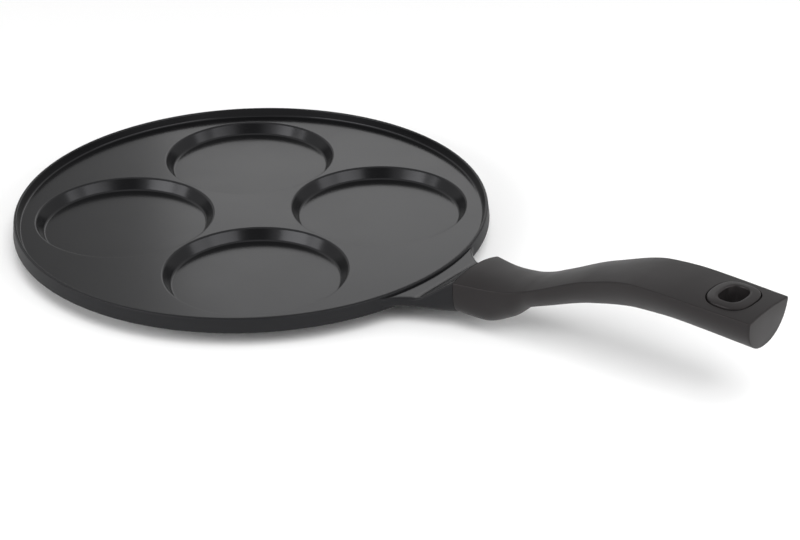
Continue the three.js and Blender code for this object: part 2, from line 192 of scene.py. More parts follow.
eyelet_share = (eyelet_x - handle_start) / HANDLE_LENGTH
hole_half_length = eyelet_half_length - EYELET_END_BORDER
hole_half_width = eyelet_half_width - EYELET_SIDE_BORDER
clear = rim_radius + HANDLE_LENGTH  # longer than any cut needs


# Curves and outlines


def lerp(a, b, share):
    return a + (b - a) * share


def smoothstep(x, low, high):
    t = min(max((x - low) / (high - low), 0), 1)
    return t * t * (3 - 2 * t)


def bend(start, corner, end, steps):
    """Points from start to end on a curve that leaves and arrives along the lines to corner."""
    shares = [i / steps for i in range(steps + 1)]
    return [start * (1 - t) ** 2 + corner * (2 * t * (1 - t)) + end * t * t for t in shares]


def quarter_turn():
    """Angles from 0 to a right angle, for a rounded edge."""
    return [math.pi / 2 * i / CREASE_STEPS for i in range(CREASE_STEPS + 1)]


def rounded_outline(corners):
    """Outline through (radius, height) corners. A third number rounds the corner over that reach."""
    points = [Vector(corner[:2]) for corner in corners]
    outline = [points[0]]
    for i in range(1, len(points)):
        fillet = corners[i][2] if len(corners[i]) > 2 else 0
        if not fillet:
            outline.append(points[i])
            continue
        before = (points[i] - points[i - 1]).normalized()
        after = (points[i + 1] - points[i]).normalized()
        start = points[i] - before * fillet
        end = points[i] + after * fillet
        outline.append(start - before * GUARD)
        outline.extend(bend(start, points[i], end, FILLET_STEPS))
        outline.append(end + after * GUARD)
    return outline


def circle_points(radius, height, segments, centre=(0, 0)):
    angles = [2 * math.pi * i / segments for i in range(segments)]
    middle = Vector((*centre, height))
    return [middle + Vector((radius * math.cos(a), radius * math.sin(a), 0)) for a in angles]


# Meshes


def add_skin(bm, rows, ring_of_rows=False, caps=False):
    """Quads over rows of points that close on themselves, with flat ends or closed into a ring."""
    made = [[bm.verts.new(point) for point in row] for row in rows]
    width = len(rows[0])
    joins = len(rows) if ring_of_rows else len(rows) - 1
    for r in range(joins):
        here = made[r]
        after = made[(r + 1) % len(rows)]
        for i in range(width):
            j = (i + 1) % width
            bm.faces.new((here[i], here[j], after[j], after[i]))
    if caps:
        bm.faces.new(list(reversed(made[0])))
        bm.faces.new(made[-1])


def add_revolved(bm, outline, segments, centre=(0, 0)):
    """Surface of revolution. An outline point on the axis closes the surface with one flat face."""
    rows = [circle_points(p.x, p.y, segments, centre) for p in outline if p.x > WELD]
    add_skin(bm, rows)
    bm.verts.ensure_lookup_table()
    count = len(bm.verts)
    first = count - len(rows) * segments
    if outline[0].x <= WELD:
        bm.faces.new([bm.verts[first + i] for i in reversed(range(segments))])
    if outline[-1].x <= WELD:
        bm.faces.new([bm.verts[count - segments + i] for i in range(segments)])


def finish_mesh(bm, name):
    """Welds the surface, turns its faces outwards and makes it an object."""
    bmesh.ops.remove_doubles(bm, verts=bm.verts, dist=WELD)
    bmesh.ops.recalc_face_normals(bm, faces=bm.faces)
    mesh = bpy.data.meshes.new(name)
    bm.to_mesh(mesh)
    bm.free()
    obj = bpy.data.objects.new(name, mesh)
    bpy.context.scene.collection.objects.link(obj)
    return obj


def shade(obj):
    """Smooth faces, with edges sharper than the limit kept crisp."""
    mesh = obj.data
    bm = bmesh.new()
    bm.from_mesh(mesh)
    for face in bm.faces:
        face.smooth = True
    for edge in bm.edges:
        edge.smooth = edge.calc_face_angle(0) < SHARP_ANGLE
    bm.to_mesh(mesh)
    bm.free()
    return obj


def skin_object(name, rows, ring_of_rows=False):
    bm = bmesh.new()
    add_skin(bm, rows, ring_of_rows, caps=not ring_of_rows)
    return finish_mesh(bm, name)


def revolved_object(name, outline, segments, centre=(0, 0)):
    bm = bmesh.new()
    add_revolved(bm, outline, segments, centre)
    return finish_mesh(bm, name)


def cylinder_object(name, radius, low, high, centre=(0, 0), segments=ROUND_SEGMENTS):
    outline = [Vector((0, low)), Vector((radius, low)), Vector((radius, high)), Vector((0, high))]
    return revolved_object(name, outline, segments, centre)


def box_object(name, low, high, edge=0):
    bm = bmesh.new()
    bmesh.ops.create_cube(bm, size=1)
    size = Vector(high) - Vector(low)
    bmesh.ops.scale(bm, vec=size, verts=bm.verts)
    bmesh.ops.translate(bm, vec=(Vector(low) + Vector(high)) / 2, verts=bm.verts)
    if edge:
        bmesh.ops.bevel(
            bm,
            geom=bm.edges,
            offset=edge,
            segments=BOX_EDGE_STEPS,
            profile=ROUND_PROFILE,
            affect="EDGES",
        )
    return finish_mesh(bm, name)


def combine(obj, tool, operation):
    """Joins or cuts obj with tool, which is used up."""
    modifier = obj.modifiers.new(operation.lower(), "BOOLEAN")
    modifier.operation = operation
    modifier.solver = "EXACT"
    modifier.object = tool
    graph = bpy.context.evaluated_depsgraph_get()
    mesh = bpy.data.meshes.new_from_object(obj.evaluated_get(graph))
    obj.modifiers.clear()
    old = obj.data
    obj.data = mesh
    mesh.name = obj.name
    bpy.data.meshes.remove(old)
    bpy.data.objects.remove(tool)
    return obj


# Handle and lug


def smooth_through(x, y):
    """Smooth curve through points that never overshoots between them."""
    slope = [(y[i + 1] - y[i]) / (x[i + 1] - x[i]) for i in range(len(x) - 1)]
    tangent = [slope[0]]
    for a, b in zip(slope, slope[1:]):
        tangent.append(2 * a * b / (a + b) if a * b > 0 else 0)
    tangent.append(slope[-1])

    def curve(share):
        i = 0
        while i < len(x) - 2 and share > x[i + 1]:
            i += 1
        span = x[i + 1] - x[i]
        t = (share - x[i]) / span
        rise = t * t * (3 - 2 * t)
        leave = t * (1 - t) * (1 - t) * span * tangent[i]
        arrive = t * t * (1 - t) * span * tangent[i + 1]
        return y[i] + rise * (y[i + 1] - y[i]) + leave - arrive

    return curve


crease_curve = smooth_through(STATION_SHARES, CREASE_HEIGHTS)
half_curve = smooth_through(STATION_SHARES, HALF_WIDTHS)
depth_curve = smooth_through(STATION_SHARES, UNDERSIDE_DEPTHS)
crown_curve = smooth_through(STATION_SHARES, CROWN_HEIGHTS)
squareness_curve = smooth_through(STATION_SHARES, UNDERSIDE_SQUARENESS)


def handle_at(share):
    return {
        "crease": crease_curve(share) * MM,
        "half": half_curve(share) * MM,
        "depth": depth_curve(share) * MM,
        "crown": crown_curve(share) * MM,
        "squareness": squareness_curve(share),
    }


def section(x, sizes, edge, slant=0, inset=0):
    """One outline across the handle or the lug: crowned top, rounded creases and a rounded underside."""
    half = sizes["half"] - inset
    depth = sizes["depth"] - inset
    crown = sizes["crown"]
    power = 2 / sizes["squareness"]
    middle = sizes["crease"] - inset
    top_share = 1 - edge / half
    low_angle = math.asin((edge / depth) ** (1 / power))

    def top(share):
        return Vector((share * half, crown * (1 - share * share)))

    def underside(angle):
        across = -math.copysign(abs(math.cos(angle)) ** power, math.cos(angle))
        return Vector((across * half, -depth * math.sin(angle) ** power))

    outline = [top(lerp(top_share, -top_share, i / CROWN_STEPS)) for i in range(CROWN_STEPS)]
    outline.extend(bend(top(-top_share), Vector((-half, 0)), underside(low_angle), CREASE_STEPS))
    for i in range(1, UNDERSIDE_STEPS):
        outline.append(underside(lerp(low_angle, math.pi - low_angle, i / UNDERSIDE_STEPS)))
    last_crease = bend(underside(math.pi - low_angle), Vector((half, 0)), top(top_share), CREASE_STEPS)
    outline.extend(last_crease[:-1])
    return [Vector((x + slant * (p.y - inset), p.x, plate_top + middle + p.y)) for p in outline]


def handle_slant(share):
    return END_SLANT * smoothstep(share, END_SLANT_START, 1)


def handle_top(x, y):
    """Height of the handle's crowned top face."""
    sizes = handle_at((x - handle_start) / HANDLE_LENGTH)
    return plate_top + sizes["crease"] + sizes["crown"] * (1 - (y / sizes["half"]) ** 2)


def lug_half(x, end_half):
    """Half width of the lug: an arc that leaves the rim at a tangent, then a straight flank."""
    # The arc's centre lies on a line beside the flank, where the arc touches the rim's circle.
    flank = Vector((-1, LUG_TAPER)).normalized()
    across = Vector((flank.y, -flank.x)) * LUG_FLARE_RADIUS
    centre = Vector((seat_x, end_half)) + across
    centre_radius = rim_top_radius + LUG_FLARE_RADIUS
    back = -centre.dot(flank)
    flank_length = back - math.sqrt(back**2 - centre.length_squared + centre_radius**2)
    centre += flank * flank_length
    if x > centre.x - across.x:
        return end_half + LUG_TAPER * (seat_x - x)
    along = max(x, centre.x * rim_top_radius / centre_radius)
    return centre.y - math.sqrt(LUG_FLARE_RADIUS**2 - (centre.x - along) ** 2)


def lug_crease(x, end_crease):
    """Height of the lug's top: flat beside the rim, a parabola, then a straight slope to the handle."""
    slope = (end_crease - LUG_RISE) / LUG_RAMP
    along = x - (seat_x - LUG_RAMP)
    if along < -LUG_RAMP_FILLET:
        return LUG_RISE
    if along > LUG_RAMP_FILLET:
        return LUG_RISE + slope * along
    return LUG_RISE + slope * (along + LUG_RAMP_FILLET) ** 2 / (4 * LUG_RAMP_FILLET)


def lug_section(x):
    end = handle_at(0)
    crease = lug_crease(x, end["crease"])
    climb = (crease - LUG_RISE) / (end["crease"] - LUG_RISE)
    underside = lerp(-LUG_DROP, end["crease"] - end["depth"], climb)
    sizes = {
        "crease": crease,
        "half": lug_half(x, end["half"]),
        "depth": crease - underside,
        "crown": end["crown"] * climb,
        "squareness": lerp(LUG_SQUARENESS, end["squareness"], climb),
    }
    return section(x, sizes, lerp(LUG_EDGE, LUG_SEAT_EDGE, climb))


# Pieces


def well_centre(i):
    """Middle of a well. The wells stand between the axes."""
    angle = 2 * math.pi * (i + 0.5) / WELL_COUNT
    return (well_centre_radius * math.cos(angle), well_centre_radius * math.sin(angle))


def add_plate(bm, outer_radius, hole_radius):
    """The flat plate between the rim and the wells."""
    points = []
    edges = []
    rings = [circle_points(outer_radius, plate_top, PAN_SEGMENTS)]
    for i in range(WELL_COUNT):
        rings.append(circle_points(hole_radius, plate_top, WELL_SEGMENTS, well_centre(i)))
    for ring in rings:
        first = len(points)
        points.extend(point.xy for point in ring)
        edges.extend((first + i, first + (i + 1) % len(ring)) for i in range(len(ring)))
    flat, _, faces, _, _, _ = delaunay_2d_cdt(points, edges, [], 0, WELD)
    verts = [bm.verts.new((p.x, p.y, plate_top)) for p in flat]
    centres = [Vector(well_centre(i)) for i in range(WELL_COUNT)]
    hole_flat = hole_radius * math.cos(math.pi / WELL_SEGMENTS)  # from a hole's centre to its sides
    for face in faces:
        middle = sum((flat[i] for i in face), Vector((0, 0))) / len(face)
        if all((middle - centre).length > hole_flat for centre in centres):
            bm.faces.new([verts[i] for i in face])


def pan_body():
    bm = bmesh.new()
    shell = rounded_outline([
        (0, steel_top + FIT_GAP),
        (steel_radius + FIT_GAP, steel_top + FIT_GAP),
        (steel_radius + FIT_GAP, BASE_RELIEF, RECESS_FILLET),
        (base_radius, BASE_RELIEF, BASE_FILLET),
        (base_radius + UNDERSIDE_RUN, BASE_RELIEF + UNDERSIDE_RISE, BASE_FILLET),
        (rim_radius, rim_bottom, RIM_FOOT_FILLET),
        (rim_top_radius, rim_top, LIP_OUTER_FILLET),
        (rim_inner_radius, rim_top, LIP_INNER_FILLET),
        (rim_foot_radius, plate_top, LIP_FOOT_FILLET),
        (rim_foot_radius - 2 * LIP_FOOT_FILLET, plate_top),
    ])
    add_revolved(bm, shell, PAN_SEGMENTS)
    well = rounded_outline([
        (0, well_floor),
        (WELL_RADIUS - WELL_WALL_RUN, well_floor, WELL_FLOOR_FILLET),
        (WELL_RADIUS - WELL_EDGE_FILLET, plate_top, WELL_EDGE_FILLET),
        (WELL_RADIUS + 2 * GUARD, plate_top),
    ])
    for i in range(WELL_COUNT):
        add_revolved(bm, well, WELL_SEGMENTS, well_centre(i))
    add_plate(bm, shell[-1].x, well[-1].x)
    pan = finish_mesh(bm, "pan_casting")

    lug_start = rim_radius - LUG_ROOT
    rows = [lug_section(lerp(lug_start, seat_x, i / LUG_STEPS)) for i in range(LUG_STEPS + 1)]
    lug = skin_object("lug", rows)
    inside = cylinder_object("inside_rim", rim_top_radius, rim_bottom, clear, segments=PAN_SEGMENTS)
    combine(lug, inside, "DIFFERENCE")
    combine(pan, lug, "UNION")

    low = (seat_x - TANG_ROOT, -TANG_WIDTH / 2, tang_bottom)
    high = (seat_x + TANG_LENGTH, TANG_WIDTH / 2, tang_top)
    combine(pan, box_object("tang", low, high, RECESS_FILLET), "UNION")
    thread = cylinder_object("thread", screw_hole_radius, 0, tang_top + FIT_GAP, (screw_x, 0))
    combine(pan, thread, "DIFFERENCE")
    return shade(pan)


def oval(half_length, half_width):
    power = 2 / EYELET_SQUARENESS
    points = []
    for i in range(OVAL_SEGMENTS):
        angle = 2 * math.pi * i / OVAL_SEGMENTS
        x = math.copysign(abs(math.cos(angle)) ** power, math.cos(angle))
        y = math.copysign(abs(math.sin(angle)) ** power, math.sin(angle))
        points.append(Vector((eyelet_x + half_length * x, half_width * y)))
    return points


def oval_row(half_length, half_width, height):
    return [Vector((p.x, p.y, height)) for p in oval(half_length, half_width)]


def surface_row(grow, lift):
    """Oval around the eyelet's seat that follows the handle's top face, lifted off it."""
    points = oval(eyelet_half_length + grow, eyelet_half_width + grow)
    return [Vector((p.x, p.y, handle_top(p.x, p.y) + lift)) for p in points]


def handle_grip():
    rows = []
    for angle in quarter_turn()[:-1]:
        x = handle_start - SEAT_CLOSE + HANDLE_SEAT_EDGE * (1 - math.cos(angle))
        inset = HANDLE_SEAT_EDGE * (1 - math.sin(angle))
        rows.append(section(x, handle_at(0), HANDLE_EDGE, 0, inset))
    start = (HANDLE_SEAT_EDGE - SEAT_CLOSE) / HANDLE_LENGTH
    end = 1 - HANDLE_END_EDGE / HANDLE_LENGTH
    for i in range(HANDLE_STEPS + 1):
        share = lerp(start, end, i / HANDLE_STEPS)
        x = handle_start + share * HANDLE_LENGTH
        rows.append(section(x, handle_at(share), HANDLE_EDGE, handle_slant(share)))
    for angle in quarter_turn()[1:]:
        x = handle_start + HANDLE_LENGTH - HANDLE_END_EDGE * (1 - math.sin(angle))
        inset = HANDLE_END_EDGE * (1 - math.cos(angle))
        rows.append(section(x, handle_at(1), HANDLE_EDGE, END_SLANT, inset))
    grip = skin_object("handle_moulding", rows)

    # The cutters reach past the faces that they open.
    low = (seat_x - TANG_LENGTH, -TANG_WIDTH / 2 - FIT_GAP, socket_bottom)
    high = (seat_x + TANG_LENGTH + FIT_GAP, TANG_WIDTH / 2 + FIT_GAP, tang_top + FIT_GAP)
    combine(grip, box_object("socket", low, high), "DIFFERENCE")
    shank = cylinder_object("shank_hole", screw_hole_radius, -clear, tang_bottom, (screw_x, 0))
    combine(grip, shank, "DIFFERENCE")
    counterbore_radius = COUNTERBORE_DIAMETER / 2
    counterbore = cylinder_object("counterbore", counterbore_radius, -clear, washer_seat, (screw_x, 0))
    combine(grip, counterbore, "DIFFERENCE")

    crease = plate_top + handle_at(eyelet_share)["crease"]
    flange_bottom = crease - EYELET_FLANGE - FIT_GAP
    seat_length = eyelet_half_length + FIT_GAP
    seat_width = eyelet_half_width + FIT_GAP
    flange = [oval_row(seat_length, seat_width, flange_bottom)]
    for angle in quarter_turn():
        grow = SEAM_FLARE * (1 - math.cos(angle))
        sink = SEAM_FLARE * (1 - math.sin(angle))
        flange.append(surface_row(FIT_GAP + grow, -sink))
    flange.append(surface_row(FIT_GAP + 2 * SEAM_FLARE, SEAM_FLARE))
    above_face = crease + 4 * EYELET_LIP
    flange.append(oval_row(seat_length, seat_width, above_face))
    combine(grip, skin_object("flange_seat", flange), "DIFFERENCE")
    sleeve_length = hole_half_length + EYELET_SLEEVE_WALL + FIT_GAP
    sleeve_width = hole_half_width + EYELET_SLEEVE_WALL + FIT_GAP
    sleeve = [oval_row(sleeve_length, sleeve_width, 0), oval_row(sleeve_length, sleeve_width, clear)]
    combine(grip, skin_object("sleeve_seat", sleeve), "DIFFERENCE")
    return shade(grip)


def hanging_eyelet():
    """Ring and sleeve: the lip swells from the handle's face to a crest and rounds into the hole."""
    crease = plate_top + handle_at(eyelet_share)["crease"]
    crest = crease + EYELET_LIP
    rise = smooth_through(LIP_SHARES, LIP_RISES)
    edge = surface_row(0, -LIP_SINK)
    rows = []
    for i in range(LIP_STEPS + 1):
        share = i / LIP_STEPS
        length = lerp(eyelet_half_length, hole_half_length, share)
        width = lerp(eyelet_half_width, hole_half_width, share)
        points = zip(oval(length, width), edge)
        rows.append([Vector((p.x, p.y, lerp(low.z, crest, rise(share)))) for p, low in points])
    foot = eyelet_low.z
    flange_bottom = crease - EYELET_FLANGE
    sleeve_length = hole_half_length + EYELET_SLEEVE_WALL
    sleeve_width = hole_half_width + EYELET_SLEEVE_WALL
    rows.append(oval_row(hole_half_length, hole_half_width, foot))
    rows.append(oval_row(sleeve_length, sleeve_width, foot))
    rows.append(oval_row(sleeve_length, sleeve_width, flange_bottom))
    rows.append(oval_row(eyelet_half_length, eyelet_half_width, flange_bottom))
    return shade(skin_object("eyelet_ring", rows, ring_of_rows=True))


def induction_plate():
    corners = [(0, 0)]
    for radius in GROOVE_RADII:
        corners.append((radius, 0, GROOVE_FILLET))
        corners.append((radius, GROOVE_DEPTH, GROOVE_FILLET))
        corners.append((radius + GROOVE_WIDTH, GROOVE_DEPTH, GROOVE_FILLET))
        corners.append((radius + GROOVE_WIDTH, 0, GROOVE_FILLET))
    corners.append((steel_radius, 0, GROOVE_DEPTH))
    corners.append((steel_radius, steel_top))
    corners.append((0, steel_top))
    return shade(revolved_object("base_plate", rounded_outline(corners), PAN_SEGMENTS))


def handle_screw():
    head_radius = screw_high.y
    head_top = screw_low.z + SCREW_HEAD_HEIGHT
    shank_radius = SCREW_DIAMETER / 2
    outline = rounded_outline([
        (0, screw_low.z),
        (head_radius, screw_low.z, SCREW_HEAD_HEIGHT / 2),
        (head_radius, head_top, GROOVE_FILLET),
        (shank_radius, head_top),
    ])
    crest = head_top + THREAD_PITCH
    while crest + THREAD_PITCH < screw_high.z:
        outline.append(Vector((shank_radius - THREAD_DEPTH, crest)))
        outline.append(Vector((shank_radius, crest + THREAD_PITCH / 2)))
        crest += THREAD_PITCH
    outline.append(Vector((shank_radius - 2 * THREAD_DEPTH, screw_high.z)))
    outline.append(Vector((0, screw_high.z)))
    screw = revolved_object("seat_screw", outline, ROUND_SEGMENTS, (screw_x, 0))
    for length, width in ((CROSS_LENGTH, CROSS_WIDTH), (CROSS_WIDTH, CROSS_LENGTH)):
        low = (screw_x - length / 2, -width / 2, screw_low.z - CROSS_DEPTH)
        high = (screw_x + length / 2, width / 2, screw_low.z + CROSS_DEPTH)
        combine(screw, box_object("cross", low, high), "DIFFERENCE")
    return shade(screw)


def lock_washer():
    """Split ring of a rounded square section."""
    outer = washer_high.y
    inner = screw_hole_radius
    slit = WASHER_SLIT / outer
    square = rounded_outline([
        ((inner + outer) / 2, washer_low.z),
        (outer, washer_low.z, GROOVE_FILLET),
        (outer, washer_high.z, GROOVE_FILLET),
        (inner, washer_high.z, GROOVE_FILLET),
        (inner, washer_low.z, GROOVE_FILLET),
        ((inner + outer) / 2, washer_low.z),
    ])[:-1]
    rows = []
    for i in range(ROUND_SEGMENTS + 1):
        angle = lerp(slit, 2 * math.pi - slit, i / ROUND_SEGMENTS)
        spoke = Vector((math.cos(angle), math.sin(angle), 0))
        rows.append([Vector((screw_x, 0, p.y)) + spoke * p.x for p in square])
    return shade(skin_object("spring_washer", rows))


# Materials

NOISE_LOW = 0.3  # most of a noise texture's values lie between these
NOISE_HIGH = 0.7
STEEPEST_TOP = 0.6  # least upward share of the normal on a face that counts as a top
OUTSIDE_ROUGHNESS = 0.55
GRAIN_DETAIL = 2  # octaves of noise in a fine grain
CLOUD_DETAIL = 3  # and in slow changes of colour and gloss
PLASTIC_DARK = (0.0094, 0.0086, 0.0087)
PLASTIC_LIGHT = (0.0118, 0.0108, 0.0109)
PLASTIC_TINT = (1, 0.93, 0.94)
STEEL_DARK = (0.46, 0.46, 0.47)
STEEL_LIGHT = (0.55, 0.55, 0.56)
STEEL_ROUGHNESS = (0.26, 0.36)
STEEL_CLOUD_SIZE = 18 * MM
TURNING_DEPTH = 0.002 * MM
TURNING_WAVER = 0.4
BASE_TURNING = 0.5 * MM  # distance over which the wave of turned rings runs through one radian
FASTENER_TURNING = 0.15 * MM
WAVE_FACTOR = 20  # by which a wave texture multiplies its coordinates


def principled(name):
    material = bpy.data.materials.new(name)
    material.use_nodes = True
    nodes = material.node_tree.nodes
    return material, nodes, material.node_tree.links, nodes["Principled BSDF"]


def noise(nodes, links, coordinates, size, detail):
    texture = nodes.new("ShaderNodeTexNoise")
    texture.inputs["Scale"].default_value = 1 / size
    texture.inputs["Detail"].default_value = detail
    links.new(coordinates.outputs["Object"], texture.inputs["Vector"])
    return texture.outputs["Fac"]


def ranged(nodes, links, value, low, high):
    spread = nodes.new("ShaderNodeMapRange")
    spread.inputs["From Min"].default_value = NOISE_LOW
    spread.inputs["From Max"].default_value = NOISE_HIGH
    spread.inputs["To Min"].default_value = low
    spread.inputs["To Max"].default_value = high
    links.new(value, spread.inputs["Value"])
    return spread.outputs["Result"]


def mixed_colour(nodes, links, value, dark, light):
    mix = nodes.new("ShaderNodeMix")
    mix.data_type = "RGBA"
    mix.inputs["A"].default_value = (*dark, 1)
    mix.inputs["B"].default_value = (*light, 1)
    links.new(value, mix.inputs["Factor"])
    return mix.outputs["Result"]


def compared(nodes, links, value, operation, limit):
    """1 where the value is beyond the limit, and 0 elsewhere."""
    test = nodes.new("ShaderNodeMath")
    test.operation = operation
    test.inputs[1].default_value = limit
    links.new(value, test.inputs[0])
    return test.outputs["Value"]


def bumped(nodes, links, height, shader, depth):
    bump = nodes.new("ShaderNodeBump")
    bump.inputs["Strength"].default_value = 1
    bump.inputs["Distance"].default_value = depth
    links.new(height, bump.inputs["Height"])
    links.new(bump.outputs["Normal"], shader.inputs["Normal"])


def grained_material(name, dark, light, tint, roughness, index, grain_size, grain_depth, cloud_size):
    """A dark moulded or coated surface: a fine grain, and slow changes of colour and gloss."""
    material, nodes, links, shader = principled(name)
    coordinates = nodes.new("ShaderNodeTexCoord")
    cloud = noise(nodes, links, coordinates, cloud_size, CLOUD_DETAIL)
    grain = noise(nodes, links, coordinates, grain_size, GRAIN_DETAIL)
    links.new(mixed_colour(nodes, links, cloud, dark, light), shader.inputs["Base Color"])
    links.new(ranged(nodes, links, cloud, *roughness), shader.inputs["Roughness"])
    bumped(nodes, links, grain, shader, grain_depth)
    shader.inputs["IOR"].default_value = index
    shader.inputs["Specular Tint"].default_value = (*tint, 1)
    return material


def coating_material():
    """Satin inside. The outer wall and the outer band of the underside, the steep faces beyond the lip's
    inner edge, have a rougher coat.
    """
    material = grained_material(
        "nonstick_coating",
        dark=(0.0042, 0.0042, 0.0046),
        light=(0.0056, 0.0056, 0.006),
        tint=(0.96, 0.96, 1),
        roughness=(0.17, 0.2),
        index=1.35,
        grain_size=0.6 * MM,
        grain_depth=0.0006 * MM,
        cloud_size=40 * MM,
    )
    nodes = material.node_tree.nodes
    links = material.node_tree.links
    shader = nodes["Principled BSDF"]
    satin = shader.inputs["Roughness"].links[0].from_socket
    coordinates = nodes.new("ShaderNodeTexCoord")
    level = nodes.new("ShaderNodeVectorMath")
    level.operation = "MULTIPLY"
    level.inputs[1].default_value = (1, 1, 0)
    links.new(coordinates.outputs["Object"], level.inputs[0])
    radius = nodes.new("ShaderNodeVectorMath")
    radius.operation = "LENGTH"
    links.new(level.outputs["Vector"], radius.inputs[0])
    lip_top = rim_inner_radius + LIP_INNER_FILLET
    beyond_lip = compared(nodes, links, radius.outputs["Value"], "GREATER_THAN", lip_top)
    facing = nodes.new("ShaderNodeSeparateXYZ")
    links.new(nodes.new("ShaderNodeNewGeometry").outputs["Normal"], facing.inputs["Vector"])
    steep = compared(nodes, links, facing.outputs["Z"], "LESS_THAN", STEEPEST_TOP)
    outside = nodes.new("ShaderNodeMath")
    outside.operation = "MULTIPLY"
    links.new(beyond_lip, outside.inputs[0])
    links.new(steep, outside.inputs[1])
    finish = nodes.new("ShaderNodeMix")
    finish.inputs["B"].default_value = OUTSIDE_ROUGHNESS
    links.new(outside.outputs["Value"], finish.inputs["Factor"])
    links.new(satin, finish.inputs["A"])
    links.new(finish.outputs["Result"], shader.inputs["Roughness"])
    return material


def grip_material():
    return grained_material(
        "grip_plastic",
        dark=PLASTIC_DARK,
        light=PLASTIC_LIGHT,
        tint=PLASTIC_TINT,
        roughness=(0.42, 0.48),
        index=1.335,
        grain_size=0.35 * MM,
        grain_depth=0.004 * MM,
        cloud_size=25 * MM,
    )


def eyelet_material():
    return grained_material(
        "eyelet_plastic",
        dark=PLASTIC_DARK,
        light=PLASTIC_LIGHT,
        tint=PLASTIC_TINT,
        roughness=(0.36, 0.42),
        index=1.35,
        grain_size=0.4 * MM,
        grain_depth=0.002 * MM,
        cloud_size=15 * MM,
    )


def steel_material(name, turning, centre):
    """Turned steel: fine rings around the centre, and faint clouds of gloss."""
    material, nodes, links, shader = principled(name)
    shader.inputs["Metallic"].default_value = 1
    coordinates = nodes.new("ShaderNodeTexCoord")
    place = nodes.new("ShaderNodeMapping")
    place.inputs["Location"].default_value = (-centre[0], -centre[1], 0)
    links.new(coordinates.outputs["Object"], place.inputs["Vector"])
    rings = nodes.new("ShaderNodeTexWave")
    rings.wave_type = "RINGS"
    rings.rings_direction = "Z"
    rings.inputs["Scale"].default_value = 1 / turning / WAVE_FACTOR
    rings.inputs["Distortion"].default_value = TURNING_WAVER
    links.new(place.outputs["Vector"], rings.inputs["Vector"])
    cloud = noise(nodes, links, coordinates, STEEL_CLOUD_SIZE, CLOUD_DETAIL)
    colour = mixed_colour(nodes, links, cloud, STEEL_DARK, STEEL_LIGHT)
    links.new(colour, shader.inputs["Base Color"])
    gloss = ranged(nodes, links, rings.outputs["Fac"], *STEEL_ROUGHNESS)
    links.new(gloss, shader.inputs["Roughness"])
    bumped(nodes, links, rings.outputs["Fac"], shader, TURNING_DEPTH)
    return material


# Dressed pieces


def dress(piece, material, node):
    piece.data.materials.clear()
    piece.data.materials.append(material)
    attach(piece, "root")
    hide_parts(node)


coating = coating_material()
base_steel = steel_material("base_steel", BASE_TURNING, (0, 0))
fastener_steel = steel_material("fastener_steel", FASTENER_TURNING, (screw_x, 0))
dress(pan_body(), coating, "pan_body")
dress(induction_plate(), base_steel, "induction_plate")
dress(handle_grip(), grip_material(), "handle_grip")
dress(hanging_eyelet(), eyelet_material(), "hanging_eyelet")
dress(handle_screw(), fastener_steel, "handle_screw")
dress(lock_washer(), fastener_steel, "lock_washer")


# Camera, at the photograph's place

CAMERA_AZIMUTH = 40.238  # degrees, as all angles of the camera and the lights
CAMERA_ELEVATION = 28.275
CAMERA_ROLL = -0.515
CAMERA_PLACE = (0.70137, -0.70428, plate_top + 0.49447)
FOCAL_PIXELS = 2026.7
IMAGE_WIDTH = 800
HALF_PIXEL = 0.5 / IMAGE_WIDTH  # the camera was solved for the middles of pixels
CLIP_END = 50


def towards(azimuth, elevation):
    """Direction from the pan. Azimuth is measured from -Y towards +X."""
    a = math.radians(azimuth)
    e = math.radians(elevation)
    return Vector((math.sin(a) * math.cos(e), -math.cos(a) * math.cos(e), math.sin(e)))


def add_camera():
    roll = math.radians(CAMERA_ROLL)
    back = towards(CAMERA_AZIMUTH, CAMERA_ELEVATION)
    right = towards(CAMERA_AZIMUTH + 90, 0)
    up = back.cross(right)
    turned_right = right * math.cos(roll) + up * math.sin(roll)
    turned_up = up * math.cos(roll) - right * math.sin(roll)
    data = bpy.data.cameras.new("photo_camera")
    data.lens = data.sensor_width * FOCAL_PIXELS / IMAGE_WIDTH
    data.shift_x = -HALF_PIXEL
    data.shift_y = HALF_PIXEL
    data.clip_end = CLIP_END
    camera = bpy.data.objects.new("photo_camera", data)
    turn = Matrix((turned_right, turned_up, back)).transposed().to_4x4()
    camera.matrix_world = Matrix.Translation(CAMERA_PLACE) @ turn
    bpy.context.scene.collection.objects.link(camera)
    bpy.context.scene.camera = camera


# Floor and light

FLOOR_REACH = 8
FLOOR_ALBEDO = 0.85
FLOOR_SEEN = 0.995  # what the camera and reflections see, so that the lit floor is white
ROOM_SEEN = 0.4  # light at the room's horizon, as reflections show it
ROOM_FILL = 0.38  # even light on matt surfaces
# Azimuth and elevation of a patch's middle, where its fade starts and ends, and its change of the light
ROOM_PATCHES = (
    (0, 90, 58, 90, 0.5),
    (42, 36, 8, 22, -0.75),
    (210, 46, 8, 26, -0.2),
    (239, 26, 4, 12, -0.45),
    (220, 8, 4, 12, 0.3),
)
LAMP_POWER = 4  # of an area lamp, for each square metre and unit of radiance
FRONT_BOX_AZIMUTH = 55
FRONT_BOX_ELEVATION = 52
FRONT_BOX_DISTANCE = 3.2
FRONT_BOX_RADIUS = 0.9
FRONT_BOX_RADIANCE = 6
SOFT_BOX_DISTANCE = 1.6
# Azimuth of a soft box and of its two ends, its lower and upper edge as shares of its distance, and its
# radiance
SOFT_BOXES = {
    "left_box": (-9, -27, 9, 0.26, 0.74, 3.8),
    "left_end": (-36, -47, -26, 0.26, 0.52, 2.8),
    "right_box": (85, 66, 104, 0.26, 0.78, 2.5),
    "right_end": (118, 104, 131, 0.26, 0.62, 1.9),
    "back_panel": (218, 206, 229.2, 0.4, 0.68, 0.78),
}


